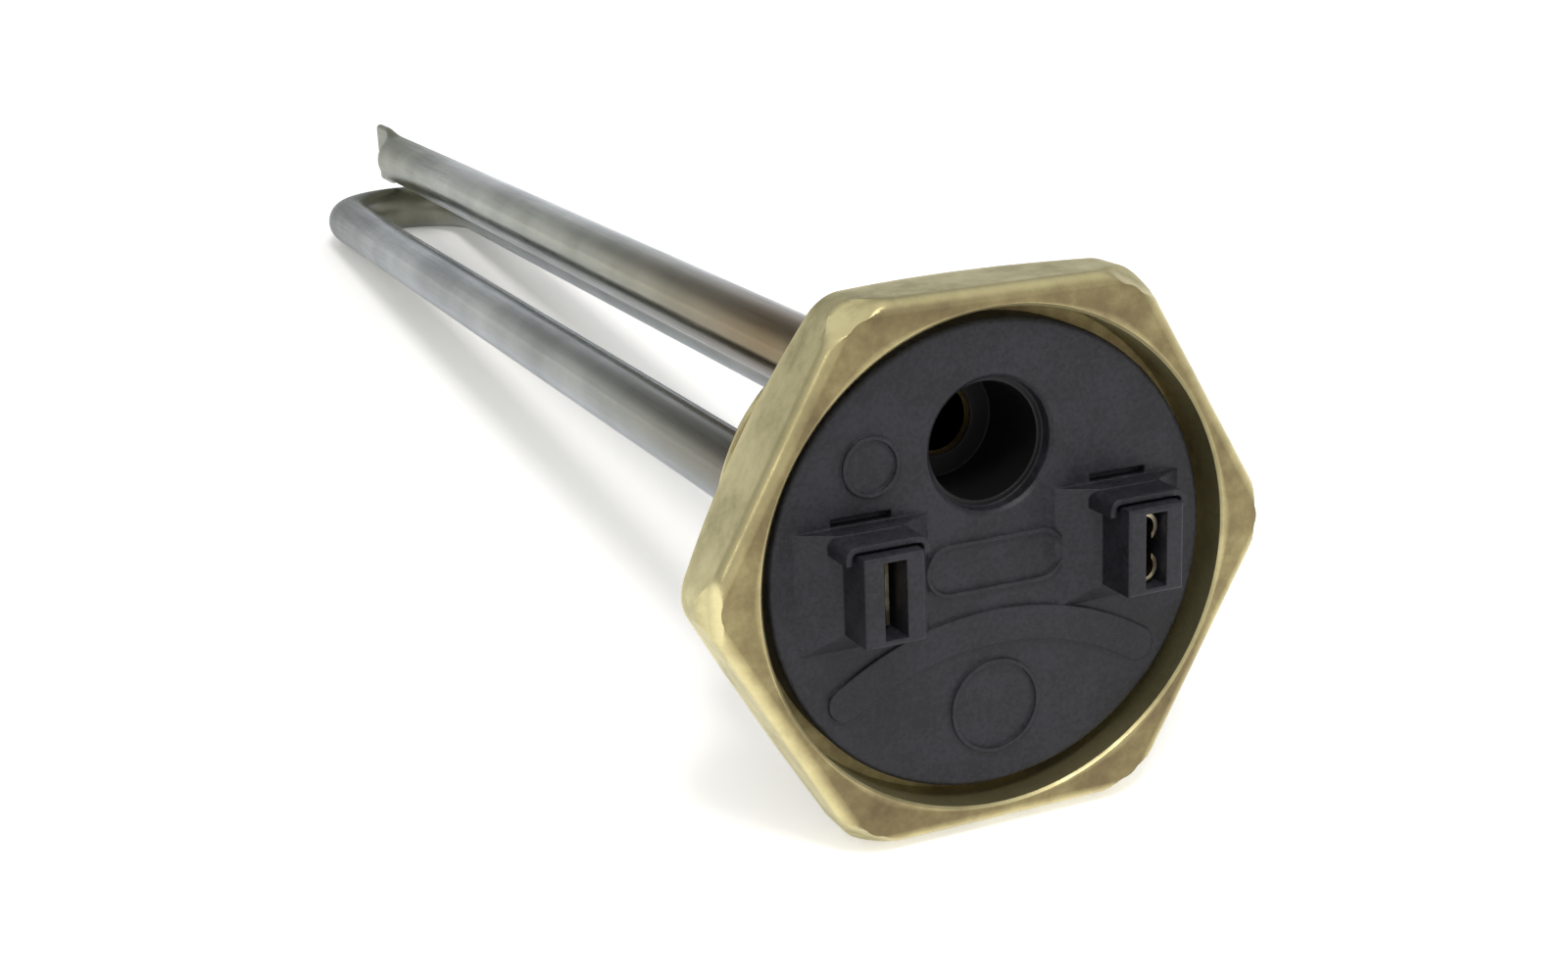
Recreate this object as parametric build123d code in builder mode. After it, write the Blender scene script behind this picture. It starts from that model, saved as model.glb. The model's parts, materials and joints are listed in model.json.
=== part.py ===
from build123d import *
import os
from math import pi, radians, sqrt, tan

os.makedirs("parts", exist_ok=True)

# Screw-in heating element of a storage water heater, lying on its side.
# Millimetres. The thread axis is the Y axis and the sealing face is at y = 0.
# The hexagon looks towards -Y and the tubes run towards +Y, with +Z up.

# Running gaps
fit_gap = 0.05
moulding_gap = 0.25

# Hexagon head
across_flats = 55.0
head_thickness = 9.0
corner_round = 4.0
front_edge_round = 1.5
front_corner_angle = 60.0
front_corner_inset = 1.7
rear_chamfer_angle = 30.0
rear_chamfer_inset = 0.9
rim_width = 2.1
recess_floor_thickness = 3.5
recess_mouth_chamfer = 0.25

# Parallel pipe thread, drawn at its major diameter
thread_diameter = 41.91
spigot_length = 16.0
spigot_chamfer = 1.3
cavity_radius = 18.2
base_thickness = 5.0

# Heating tube
leg_offset = 12.2
leg_height = 1.6
sheath_radius = 4.0
sheath_wall = 0.7
sheath_inside_length = 7.0
loop_reach = 235.0
coil_radius = 1.9
cold_length = 50.0
pin_radius = 1.2
pin_overrun = 4.0
pin_tip_chamfer = 0.25
seal_length = 2.0
bead_shank_length = 3.0
bead_head_length = 3.0
bead_head_round = 0.6

# Thermostat pocket
pocket_height = 11.5
pocket_radius = 4.25
pocket_wall = 0.75
pocket_inside_length = 6.0
pocket_reach = 241.0
crimp_length = 6.0
crimp_taper = 8.0
crimp_trim = 1.3
crimp_seam = 0.3

# Brazing
braze_size = 1.3

# Terminal cover, one moulding
cover_set_back = 2.0
cover_edge_gap = 1.4
cover_edge_round = 0.5
skirt_wall = 1.2
skirt_length = 4.5
stem_hole_radius = 6.65
stem_hole_depth = 1.7
stem_hole_chamfer = 0.4
guide_radius = 6.0
guide_wall = 0.8
guide_lip = 0.8
guide_lip_radius = 3.8

# Shrouds around the tab receptacles
shroud_height = 0.4
shroud_rise = 7.2
shroud_width = 6.2
shroud_depth = 8.9
shroud_edge_round = 0.3
slot_width = 2.4
hood_gap = 0.3
hood_wall = 0.6
hood_rise = 5.8
hood_overhang = 0.6
hood_corner = 0.8
hood_leg_length = 1.5
base_rise = 2.3
base_spread = 4.0
base_head = 1.0
base_tail = 2.5
window_width = 6.4
window_height = 0.8
window_depth = 1.2
window_offset = 0.1

# Bare raised fields of the moulding
field_rise = 0.35
frame_line = 0.45
badge_radius = 3.05
badge_place = (-13.0, 11.35)
plate_size = (15.6, 5.5)
plate_place = (0.3, -0.5)
band_apex = -7.1
band_drop = 5.0
band_height = 3.6
band_end_margin = 1.7
seal_field_radius = 5.0
seal_field_margin = 3.4

# Tab receptacles, each rolled from one strip
strip_thickness = 0.4
receptacle_height = 7.2
receptacle_length = 8.0
left_set_back = 3.2
right_set_back = 1.4
curl_middle_gap = 1.0
tab_gap = 0.9
tongue_height = 4.2

# Places that follow from the sizes above
face_y = -head_thickness
cover_front_y = face_y + cover_set_back
recess_floor_y = -recess_floor_thickness
base_inner_y = spigot_length - base_thickness
recess_radius = across_flats / 2 - rim_width
cover_radius = recess_radius - cover_edge_gap
sheath_end_y = base_inner_y - sheath_inside_length
pocket_mouth_y = base_inner_y - pocket_inside_length
bend_centre_y = loop_reach - sheath_radius - leg_offset
sheath_bore_radius = sheath_radius - sheath_wall
bead_shank_end_y = sheath_end_y + bead_shank_length
core_start_y = bead_shank_end_y + seal_length
bead_front_y = sheath_end_y - bead_head_length
pin_tip_y = bead_front_y - pin_overrun
shroud_front_y = cover_front_y - shroud_rise
strip_offset = leg_offset + pin_radius + strip_thickness / 2
roll_radius = (receptacle_height - curl_middle_gap) / 4
roll_offset = (receptacle_height + curl_middle_gap) / 4
shroud_offset = strip_offset + roll_radius + moulding_gap - slot_width / 2
slot_depth = receptacle_height + 2 * moulding_gap
pocket_bore_radius = pocket_radius - pocket_wall
skirt_radius = cavity_radius - moulding_gap
sides = {"left": -1, "right": 1}
set_backs = {"left": left_set_back, "right": right_set_back}


def across(y):
    """Plane square to the thread axis at y, seen from the head: X right, Z up, normal -Y."""
    return Plane.XZ.offset(-y)


def loop_line(start_y):
    """Centre line of the heating tube from start_y up one leg, round the bend and back."""
    with BuildLine(Plane.XY.offset(leg_height)) as line:
        Line((-leg_offset, start_y), (-leg_offset, bend_centre_y))
        ThreePointArc(
            (-leg_offset, bend_centre_y),
            (0, bend_centre_y + leg_offset),
            (leg_offset, bend_centre_y),
        )
        Line((leg_offset, bend_centre_y), (leg_offset, start_y))
    return line.line


def finish(part, name):
    """Label one finished piece and write it as its own file."""
    part.label = name
    export_step(part, f"parts/{name}.step")


# Brass plug: hexagon, recess, thread spigot, hollow and base in one turned piece
with BuildPart() as head_plug:
    with BuildSketch(across(face_y)) as hexagon:
        RegularPolygon(radius=across_flats / 2, side_count=6, major_radius=False)
        fillet(hexagon.vertices(), radius=corner_round)
    extrude(amount=-head_thickness)
    front_face = head_plug.faces().sort_by(Axis.Y)[0]
    fillet(front_face.edges(), radius=front_edge_round)
    rear_cone_start = across_flats / 2 - rear_chamfer_inset
    rear_cone_depth = (across_flats - rear_cone_start) * tan(radians(rear_chamfer_angle))
    corner_reach = across_flats / sqrt(3) - (2 / sqrt(3) - 1) * corner_round
    front_cone_start = corner_reach - front_corner_inset
    front_cone_depth = (across_flats - front_cone_start) * tan(radians(front_corner_angle))
    with BuildSketch(Plane.XY):
        with BuildLine():
            Polyline(
                (rear_cone_start, 0),
                (across_flats, 0),
                (across_flats, -rear_cone_depth),
                close=True,
            )
        make_face()
        with BuildLine():
            Polyline(
                (front_cone_start, face_y),
                (across_flats, face_y),
                (across_flats, face_y + front_cone_depth),
                close=True,
            )
        make_face()
    revolve(axis=Axis.Y, mode=Mode.SUBTRACT)
    with BuildSketch(across(0)):
        Circle(thread_diameter / 2)
    extrude(amount=-spigot_length)
    spigot_end = head_plug.faces().sort_by(Axis.Y)[-1]
    chamfer(spigot_end.edges(), length=spigot_chamfer)
    with BuildSketch(across(face_y)):
        Circle(recess_radius)
    extrude(amount=-(head_thickness - recess_floor_thickness), mode=Mode.SUBTRACT)
    recess_mouth = head_plug.faces().sort_by(Axis.Y)[0].inner_wires()[0]
    chamfer(recess_mouth.edges(), length=recess_mouth_chamfer)
    with BuildSketch(across(recess_floor_y)):
        Circle(cavity_radius)
    extrude(amount=-(base_inner_y - recess_floor_y), mode=Mode.SUBTRACT)
    with BuildSketch(across(base_inner_y)):
        with Locations((-leg_offset, leg_height), (leg_offset, leg_height)):
            Circle(sheath_radius + fit_gap)
        with Locations((0, pocket_height)):
            Circle(pocket_radius + fit_gap)
    extrude(amount=-base_thickness, mode=Mode.SUBTRACT)
finish(head_plug.part, "head_plug")

# Heating tube: one seamless tube bent to a hairpin
with BuildPart() as heating_sheath:
    with BuildSketch(Plane((-leg_offset, sheath_end_y, leg_height), z_dir=(0, 1, 0))):
        Circle(sheath_radius)
        Circle(sheath_bore_radius, mode=Mode.SUBTRACT)
    sweep(path=loop_line(sheath_end_y))
finish(heating_sheath.part, "heating_sheath")

# Resistance coil, drawn as the round envelope of its turns
with BuildPart() as resistance_coil:
    with BuildSketch(Plane((-leg_offset, cold_length, leg_height), z_dir=(0, 1, 0))):
        Circle(coil_radius)
    sweep(path=loop_line(cold_length))
finish(resistance_coil.part, "resistance_coil")

# Packed magnesia between coil and sheath
with BuildPart() as magnesia_packing:
    with BuildSketch(Plane((-leg_offset, core_start_y, leg_height), z_dir=(0, 1, 0))):
        Circle(sheath_bore_radius - fit_gap)
    sweep(path=loop_line(core_start_y))
    with BuildSketch(Plane((-leg_offset, cold_length, leg_height), z_dir=(0, 1, 0))):
        Circle(coil_radius + fit_gap)
    sweep(path=loop_line(cold_length), mode=Mode.SUBTRACT)
    with BuildSketch(across(core_start_y)):
        with Locations((-leg_offset, leg_height), (leg_offset, leg_height)):
            Circle(pin_radius + fit_gap)
    extrude(amount=-(cold_length - core_start_y), mode=Mode.SUBTRACT)
finish(magnesia_packing.part, "magnesia_packing")

for side, sign in sides.items():
    leg_x = sign * leg_offset
    leg_axis = Axis((leg_x, 0, leg_height), (0, 1, 0))

    # Terminal pin from the coil out to the receptacle
    with BuildPart() as cold_pin:
        with BuildSketch(Plane((leg_x, pin_tip_y, leg_height), z_dir=(0, 1, 0))):
            Circle(pin_radius)
        extrude(amount=cold_length - pin_tip_y)
        pin_tip = cold_pin.faces().sort_by(Axis.Y)[0]
        chamfer(pin_tip.edges(), length=pin_tip_chamfer)
    finish(cold_pin.part, f"cold_pin_{side}")

    # Resin seal behind the bead
    with BuildPart() as end_seal:
        with BuildSketch(Plane((leg_x, bead_shank_end_y, leg_height), z_dir=(0, 1, 0))):
            Circle(sheath_bore_radius - fit_gap)
            Circle(pin_radius + fit_gap, mode=Mode.SUBTRACT)
        extrude(amount=seal_length)
    finish(end_seal.part, f"end_seal_{side}")

    # Ceramic bead: a shank in the tube's mouth and a head on its rim
    with BuildPart() as ceramic_bead:
        with BuildSketch(Plane.XY.offset(leg_height)):
            with BuildLine():
                Polyline(
                    (leg_x + pin_radius + fit_gap, bead_front_y),
                    (leg_x + sheath_radius, bead_front_y),
                    (leg_x + sheath_radius, sheath_end_y),
                    (leg_x + sheath_bore_radius - fit_gap, sheath_end_y),
                    (leg_x + sheath_bore_radius - fit_gap, bead_shank_end_y),
                    (leg_x + pin_radius + fit_gap, bead_shank_end_y),
                    close=True,
                )
            make_face()
        revolve(axis=leg_axis)
        bead_face = ceramic_bead.faces().sort_by(Axis.Y)[0]
        fillet(bead_face.outer_wire().edges(), radius=bead_head_round)
    finish(ceramic_bead.part, f"ceramic_bead_{side}")

    # Receptacle: a flat strip whose long edges are rolled over to grip the tab
    strip_x = sign * strip_offset
    receptacle_front_y = shroud_front_y + set_backs[side]
    receptacle_back_y = receptacle_front_y + receptacle_length
    rolls = ((strip_x, shroud_height - roll_offset), (strip_x, shroud_height + roll_offset))
    with BuildPart() as tab_receptacle:
        with BuildSketch(across(receptacle_front_y)):
            with Locations(*rolls):
                Circle(roll_radius)
            with Locations(*rolls):
                Circle(roll_radius - strip_thickness, mode=Mode.SUBTRACT)
            with Locations((strip_x - sign * roll_radius, shroud_height)):
                Rectangle(2 * roll_radius, receptacle_height, mode=Mode.SUBTRACT)
            with Locations((strip_x + sign * tab_gap / 2, shroud_height)):
                Rectangle(tab_gap, 2 * (roll_offset - strip_thickness), mode=Mode.SUBTRACT)
            with Locations((strip_x, shroud_height)):
                Rectangle(strip_thickness, receptacle_height)
        extrude(amount=-receptacle_length)
        with BuildSketch(across(receptacle_back_y)):
            with Locations((strip_x, (shroud_height + leg_height) / 2)):
                Rectangle(strip_thickness, tongue_height)
        extrude(amount=-(bead_front_y - receptacle_back_y - moulding_gap))
    finish(tab_receptacle.part, f"tab_receptacle_{side}")

    # Braze metal around each leg, on the wet side of the base
    with BuildPart() as braze_ring:
        with BuildSketch(Plane.XY.offset(leg_height)):
            with BuildLine():
                ring_x = leg_x + sheath_radius + fit_gap
                Line((ring_x, spigot_length + braze_size), (ring_x, spigot_length))
                Line((ring_x, spigot_length), (ring_x + braze_size, spigot_length))
                RadiusArc(
                    (ring_x + braze_size, spigot_length),
                    (ring_x, spigot_length + braze_size),
                    braze_size,
                )
            make_face()
        revolve(axis=leg_axis)
    finish(braze_ring.part, f"braze_ring_{side}")

# Braze metal around the pocket
with BuildPart() as braze_ring_pocket:
    with BuildSketch(Plane.XY.offset(pocket_height)):
        with BuildLine():
            ring_x = pocket_radius + fit_gap
            Line((ring_x, spigot_length + braze_size), (ring_x, spigot_length))
            Line((ring_x, spigot_length), (ring_x + braze_size, spigot_length))
            RadiusArc(
                (ring_x + braze_size, spigot_length),
                (ring_x, spigot_length + braze_size),
                braze_size,
            )
        make_face()
    revolve(axis=Axis((0, 0, pocket_height), (0, 1, 0)))
finish(braze_ring_pocket.part, "braze_ring_pocket")

# Thermostat pocket: a straight tube pressed flat at its far end
crimp_thickness = 2 * pocket_wall + fit_gap
crimp_width = pi * (pocket_radius - pocket_wall / 2) - crimp_trim
crimp_start_y = pocket_reach - crimp_length
taper_start_y = crimp_start_y - crimp_taper
with BuildPart() as pocket_tube:
    with BuildSketch(across(pocket_mouth_y)):
        with Locations((0, pocket_height)):
            Circle(pocket_radius)
    extrude(amount=-(taper_start_y - pocket_mouth_y))
    with BuildSketch(across(taper_start_y)):
        with Locations((0, pocket_height)):
            Circle(pocket_radius)
    with BuildSketch(across(crimp_start_y)):
        with Locations((0, pocket_height)):
            SlotOverall(crimp_width, crimp_thickness, rotation=90)
    loft()
    with BuildSketch(across(crimp_start_y)):
        with Locations((0, pocket_height)):
            SlotOverall(crimp_width, crimp_thickness, rotation=90)
    extrude(amount=-crimp_length)
    with BuildSketch(across(pocket_mouth_y)):
        with Locations((0, pocket_height)):
            Circle(pocket_bore_radius)
    extrude(amount=-(taper_start_y - pocket_mouth_y), mode=Mode.SUBTRACT)
    with BuildSketch(across(taper_start_y)):
        with Locations((0, pocket_height)):
            Circle(pocket_bore_radius)
    with BuildSketch(across(crimp_start_y)):
        with Locations((0, pocket_height)):
            SlotOverall(crimp_width - 2 * pocket_wall, crimp_seam, rotation=90)
    loft(mode=Mode.SUBTRACT)
finish(pocket_tube.part, "pocket_tube")

# Terminal cover: disc, skirt, stem guide and two shrouds in one moulding
with BuildPart() as terminal_cover:
    with BuildSketch(across(cover_front_y)):
        Circle(cover_radius)
    extrude(amount=-(recess_floor_y - cover_front_y))
    front_rim = terminal_cover.edges().sort_by(Axis.Y)[0]
    fillet(front_rim, radius=cover_edge_round)
    with BuildSketch(across(recess_floor_y)):
        Circle(skirt_radius)
        Circle(skirt_radius - skirt_wall, mode=Mode.SUBTRACT)
    extrude(amount=-skirt_length)
    with BuildSketch(across(recess_floor_y)):
        with Locations((0, pocket_height)):
            Circle(guide_radius + guide_wall)
        Circle(skirt_radius, mode=Mode.INTERSECT)
    extrude(amount=-(pocket_mouth_y - recess_floor_y))

    # Raised bases that slope down from the shrouds to the disc
    base_top = shroud_height + shroud_depth / 2 + base_head
    base_bottom = shroud_height - shroud_depth / 2
    foot_bottom = base_bottom - base_tail
    for sign in sides.values():
        base_x = sign * shroud_offset
        with BuildSketch(across(cover_front_y)):
            with Locations((base_x, (base_top + foot_bottom) / 2)):
                Rectangle(shroud_width + 2 * base_spread, base_top - foot_bottom)
        with BuildSketch(across(cover_front_y - base_rise)):
            with Locations((base_x, (base_top + base_bottom) / 2)):
                Rectangle(shroud_width, base_top - base_bottom)
        loft()

    # Hoods that arch over the shrouds, then the shrouds themselves
    hood_half_width = (shroud_width + hood_wall) / 2 + hood_overhang
    hood_line_top = shroud_height + shroud_depth / 2 + hood_gap + hood_wall / 2
    hood_line_bottom = hood_line_top - hood_leg_length
    with BuildSketch(across(cover_front_y)):
        for sign in sides.values():
            hood_left = sign * shroud_offset - hood_half_width
            hood_right = sign * shroud_offset + hood_half_width
            with BuildLine():
                FilletPolyline(
                    (hood_left, hood_line_bottom),
                    (hood_left, hood_line_top),
                    (hood_right, hood_line_top),
                    (hood_right, hood_line_bottom),
                    radius=hood_corner,
                )
            trace(line_width=hood_wall)
    extrude(amount=hood_rise)
    with BuildSketch(across(cover_front_y)):
        for sign in sides.values():
            with Locations((sign * shroud_offset, shroud_height)):
                Rectangle(shroud_width, shroud_depth)
    extrude(amount=shroud_rise)
    shroud_faces = terminal_cover.faces().filter_by(Axis.Y).group_by(Axis.Y)[0]
    fillet(shroud_faces.edges(), radius=shroud_edge_round)

    # Receptacle chambers from the back, and the slot for the tab at the front
    with BuildSketch(across(shroud_front_y)):
        for sign in sides.values():
            with Locations((sign * shroud_offset, shroud_height)):
                Rectangle(slot_width, slot_depth)
    extrude(amount=-(recess_floor_y - shroud_front_y), mode=Mode.SUBTRACT)

    # Windows above the raised bases
    with BuildSketch(across(cover_front_y)):
        for sign in sides.values():
            with Locations((sign * shroud_offset, base_top + window_offset + window_height / 2)):
                Rectangle(window_width, window_height)
    extrude(amount=-window_depth, mode=Mode.SUBTRACT)

    # Bare raised fields
    with BuildSketch(across(cover_front_y)):
        with Locations(badge_place):
            Circle(badge_radius)
            Circle(badge_radius - frame_line, mode=Mode.SUBTRACT)
        with Locations((0, seal_field_margin + seal_field_radius - cover_radius)):
            Circle(seal_field_radius)
            Circle(seal_field_radius - frame_line, mode=Mode.SUBTRACT)
        with Locations(plate_place):
            SlotOverall(*plate_size)
            SlotOverall(
                plate_size[0] - 2 * frame_line,
                plate_size[1] - 2 * frame_line,
                mode=Mode.SUBTRACT,
            )
    extrude(amount=field_rise)
    with BuildSketch(across(cover_front_y)):
        band_end_height = band_apex - band_drop
        band_end_radius = cover_radius - band_end_margin - band_height / 2
        band_half_width = sqrt(band_end_radius**2 - band_end_height**2)
        with BuildLine(mode=Mode.PRIVATE) as band_line:
            ThreePointArc(
                (-band_half_width, band_end_height),
                (0, band_apex),
                (band_half_width, band_end_height),
            )
        SlotArc(band_line.edges()[0], band_height)
    extrude(amount=field_rise)

    # Stem hole, its step and the guide with its end lip
    with BuildSketch(across(cover_front_y)):
        with Locations((0, pocket_height)):
            Circle(stem_hole_radius)
    extrude(amount=-stem_hole_depth, mode=Mode.SUBTRACT)
    stem_edges = terminal_cover.edges(Select.LAST).filter_by(GeomType.CIRCLE)
    stem_mouth = stem_edges.sort_by(Axis.Y)[0]
    chamfer(stem_mouth, length=stem_hole_chamfer)
    with BuildSketch(across(cover_front_y)):
        with Locations((0, pocket_height)):
            Circle(guide_radius)
    extrude(amount=-(pocket_mouth_y - guide_lip - cover_front_y), mode=Mode.SUBTRACT)
    with BuildSketch(across(cover_front_y)):
        with Locations((0, pocket_height)):
            Circle(guide_lip_radius)
    extrude(amount=-(pocket_mouth_y - cover_front_y), mode=Mode.SUBTRACT)
finish(terminal_cover.part, "terminal_cover")
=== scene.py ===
# %% [markdown]
# # Screw-in heating element of a storage water heater
# A brass hexagon plug carries a heating tube bent to a hairpin, a straight pocket for the stem of a
# control, and a black moulded cover with two sockets for flat tabs. The solids come from the frame.
# This lesson dresses them: it makes the threaded plug and the tubes anew as smooth surfaces, and gives
# every piece a finish worked out from real sizes.

# %% The frame
import json
from math import asin, atan, atan2, cos, hypot, pi, radians, sin, tan

import bmesh
import bpy
import numpy as np
from mathutils import Matrix, Vector
from mathutils.geometry import delaunay_2d_cdt


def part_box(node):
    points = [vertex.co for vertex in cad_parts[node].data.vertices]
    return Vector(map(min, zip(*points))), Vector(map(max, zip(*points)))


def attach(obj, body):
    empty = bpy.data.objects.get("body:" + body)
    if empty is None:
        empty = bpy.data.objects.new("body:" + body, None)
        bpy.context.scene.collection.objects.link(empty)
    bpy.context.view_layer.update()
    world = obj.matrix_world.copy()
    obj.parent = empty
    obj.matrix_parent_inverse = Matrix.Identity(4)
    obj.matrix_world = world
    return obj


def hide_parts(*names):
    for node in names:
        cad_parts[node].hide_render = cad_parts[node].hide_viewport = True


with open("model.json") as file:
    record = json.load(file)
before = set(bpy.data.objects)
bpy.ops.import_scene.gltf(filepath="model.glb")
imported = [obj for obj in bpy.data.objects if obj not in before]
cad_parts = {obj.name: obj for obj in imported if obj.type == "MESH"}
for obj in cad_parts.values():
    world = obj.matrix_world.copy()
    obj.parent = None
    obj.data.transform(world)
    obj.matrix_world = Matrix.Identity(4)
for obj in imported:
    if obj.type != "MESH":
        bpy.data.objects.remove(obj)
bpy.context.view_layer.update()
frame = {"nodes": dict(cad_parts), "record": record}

# %% [markdown]
# Every place is read from the frame, so the surfaces stay on their solids. The thread's axis is Y, the
# hexagon looks towards -Y and the tubes run towards +Y. A box gives a round tube's radius as half its
# width, and a leg's distance from the middle as the outer edge less that radius.

# %% Sizes read from the frame
MM = 0.001
mounts = {mount["name"]: mount for mount in frame["record"]["mounts"]}

plug_low, plug_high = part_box("head_plug")
face_y = plug_low.y
spigot_end_y = plug_high.y
flat_half = plug_high.z
thread_radius = mounts["thread"]["dims"]["r_mm"] * MM

sheath_low, sheath_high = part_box("heating_sheath")
sheath_radius = (sheath_high.z - sheath_low.z) / 2
leg_height = (sheath_high.z + sheath_low.z) / 2
leg_offset = sheath_high.x - sheath_radius
bend_centre_y = sheath_high.y - sheath_radius - leg_offset

pocket_low, pocket_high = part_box("pocket_tube")
pocket_radius = (pocket_high.x - pocket_low.x) / 2
pocket_height = (pocket_high.z + pocket_low.z) / 2
crimp_width = pocket_high.z - pocket_low.z
bore_radius = 6.65 * MM
print(f"tube {2 * sheath_radius / MM:.1f} mm, pocket {2 * pocket_radius / MM:.1f} mm, "
      f"legs {2 * leg_offset / MM:.1f} mm apart")

# %% [markdown]
# The element lies on two points: the hexagon's lower flat and the underside of the bend. The floor is
# the plane through the heel that just touches the bend's round tube. Seen from the side, the line from
# the heel to the tube's middle rises by atan(rise / run), and the tangent lies lower by
# asin(radius / length).

# %% The floor's slope
heel = Vector((0, 0, plug_low.z))
bend_run = sheath_high.y - sheath_radius
bend_rise = leg_height - heel.z
floor_slope = atan2(bend_rise, bend_run) - asin(sheath_radius / hypot(bend_run, bend_rise))
floor_normal = Vector((0, -sin(floor_slope), cos(floor_slope)))
print(f"the floor rises {floor_slope / radians(1):.2f} degrees towards the bend")

# %% [markdown]
# The camera was fitted to the photograph, a frame of 1600 by 1000 pixels: the hexagon's corners, the
# cover's rim, the stem hole and the tubes' edges each gave a pixel for a known point. It stands about
# 0.2 m before the head and looks down along the tubes, so they shorten strongly towards the bend. The
# picture's upright is the floor's normal.

# %% The camera
image_width, image_height = 1600, 1000
focal_pixels = 2167
camera_place = Vector((-95.8, -180.3, 68.6)) * MM
looking = Vector((0.3745, 0.8791, -0.2947)).normalized()
camera_roll = radians(0.2)

right = looking.cross(floor_normal).normalized()
upright = right.cross(looking)
turned = Matrix((right, upright, -looking)).transposed().to_4x4()
camera = bpy.data.objects.new("camera", bpy.data.cameras.new("camera"))
camera.data.sensor_width = 36
camera.data.lens = camera.data.sensor_width * focal_pixels / image_width
camera.data.clip_start = 10 * MM
camera.matrix_world = Matrix.Translation(camera_place) @ turned @ Matrix.Rotation(camera_roll, 4, "Z")
bpy.context.scene.collection.objects.link(camera)
bpy.context.scene.camera = camera
print(f"lens {camera.data.lens:.1f} mm for {image_width} by {image_height}")

# %% [markdown]
# Three small helpers serve every finish. Colours are written as the hex values that a screen shows and
# turned to linear light by the sRGB curve. One function adds a node with its settings and links. One
# starts a material whose name says what the real one is.

# %% Helpers for finishes
def linear(hex_colour):
    """Linear RGBA of an sRGB hex colour: c / 12.92 below 0.04045, else ((c + 0.055) / 1.055) ** 2.4."""
    channels = [int(hex_colour[i:i + 2], 16) / 255 for i in (1, 3, 5)]
    return [c / 12.92 if c < 0.04045 else ((c + 0.055) / 1.055) ** 2.4 for c in channels] + [1]


def add(tree, kind, inputs=None, stops=(), **settings):
    """Adds one node. settings are its properties, inputs give each socket a value or the socket that
    feeds it, and stops are a colour ramp's places and hex colours."""
    made = tree.nodes.new(kind)
    for name, value in settings.items():
        setattr(made, name, value)
    for socket, value in (inputs or {}).items():
        if isinstance(value, bpy.types.NodeSocket):
            tree.links.new(value, made.inputs[socket])
        else:
            made.inputs[socket].default_value = value
    for index, (place, colour) in enumerate(stops):
        ramp = made.color_ramp.elements
        stop = ramp[index] if index < 2 else ramp.new(place)
        stop.position = place
        stop.color = linear(colour)
    return made


def start_material(name):
    """A material with its node tree and its main shader."""
    material = bpy.data.materials.new(name)
    material.use_nodes = True
    return material, material.node_tree, material.node_tree.nodes["Principled BSDF"]


print("olive brass in linear light:", [round(c, 3) for c in linear("#A7A07F")])

# %% [markdown]
# The stage is white paper that keeps the shadow. In the photograph it is burnt to white, and only the
# shade close to the tubes remains. So for the camera's rays, and for what metal and glass show, the paper
# adds a little of its own light to what it receives. Hardly any shade is left near the head, so this
# light grows with the distance from the bend. Seen from below, the paper is clear and never hides the
# element.

# %% The floor
floor_reach = 1.6
glow_from, glow_to = 40 * MM, 320 * MM
least_glow, most_glow = 0.21, 0.54
run_direction = Vector((0, cos(floor_slope), sin(floor_slope)))
corners = [heel + run_direction * along * floor_reach + Vector((aside * floor_reach, 0, 0))
           for along, aside in ((-1, -1), (-1, 1), (1, 1), (1, -1))]
floor_mesh = bpy.data.meshes.new("floor")
floor_mesh.from_pydata(corners, [], [(0, 1, 2, 3)])
floor = bpy.data.objects.new("floor", floor_mesh)
bpy.context.scene.collection.objects.link(floor)

paper, tree, shader = start_material("matt_white_paper")
tree.nodes.remove(shader)
light_path = add(tree, "ShaderNodeLightPath")
surface_side = add(tree, "ShaderNodeNewGeometry")
matt = add(tree, "ShaderNodeBsdfDiffuse", {"Color": linear("#ABABAB")})
shade = add(tree, "ShaderNodeBsdfDiffuse", {"Color": linear("#FFFFFF")})
from_bend = add(tree, "ShaderNodeVectorMath", {0: surface_side.outputs["Position"],
                                               1: (0, bend_centre_y, 0)}, operation="DISTANCE")
own_light = add(tree, "ShaderNodeMapRange", {"Value": from_bend.outputs["Value"], "From Min": glow_from,
                                             "From Max": glow_to, "To Min": least_glow,
                                             "To Max": most_glow})
glow = add(tree, "ShaderNodeEmission", {"Color": linear("#FFFFFF"), "Strength": own_light.outputs[0]})
bright = add(tree, "ShaderNodeAddShader", {0: shade.outputs[0], 1: glow.outputs[0]})
camera_or_glass = add(tree, "ShaderNodeMath", {0: light_path.outputs["Is Camera Ray"],
                                               1: light_path.outputs["Is Transmission Ray"]},
                      operation="MAXIMUM")
mirrored = add(tree, "ShaderNodeMath", {0: camera_or_glass.outputs[0],
                                        1: light_path.outputs["Is Glossy Ray"]}, operation="MAXIMUM")
seen = add(tree, "ShaderNodeMixShader", {0: mirrored.outputs[0], 1: matt.outputs[0], 2: bright.outputs[0]})
clear = add(tree, "ShaderNodeBsdfTransparent")
both_sides = add(tree, "ShaderNodeMixShader", {0: surface_side.outputs["Backfacing"],
                                               1: seen.outputs[0], 2: clear.outputs[0]})
tree.links.new(both_sides.outputs[0], tree.nodes["Material Output"].inputs["Surface"])
floor_mesh.materials.append(paper)
print("floor corners:", len(corners))

# %% [markdown]
# The light is that of a white tent. Its roof is brightest overhead and in front, and dim behind, so the
# tubes' flanks stay dark. The paper rises behind the element as a white sweep. The camera sees that
# white, and so does metal, up to the height where the sweep ends, a little higher on the right. Heights
# are sines above the floor: the dot product of a direction and the floor's normal.

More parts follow.
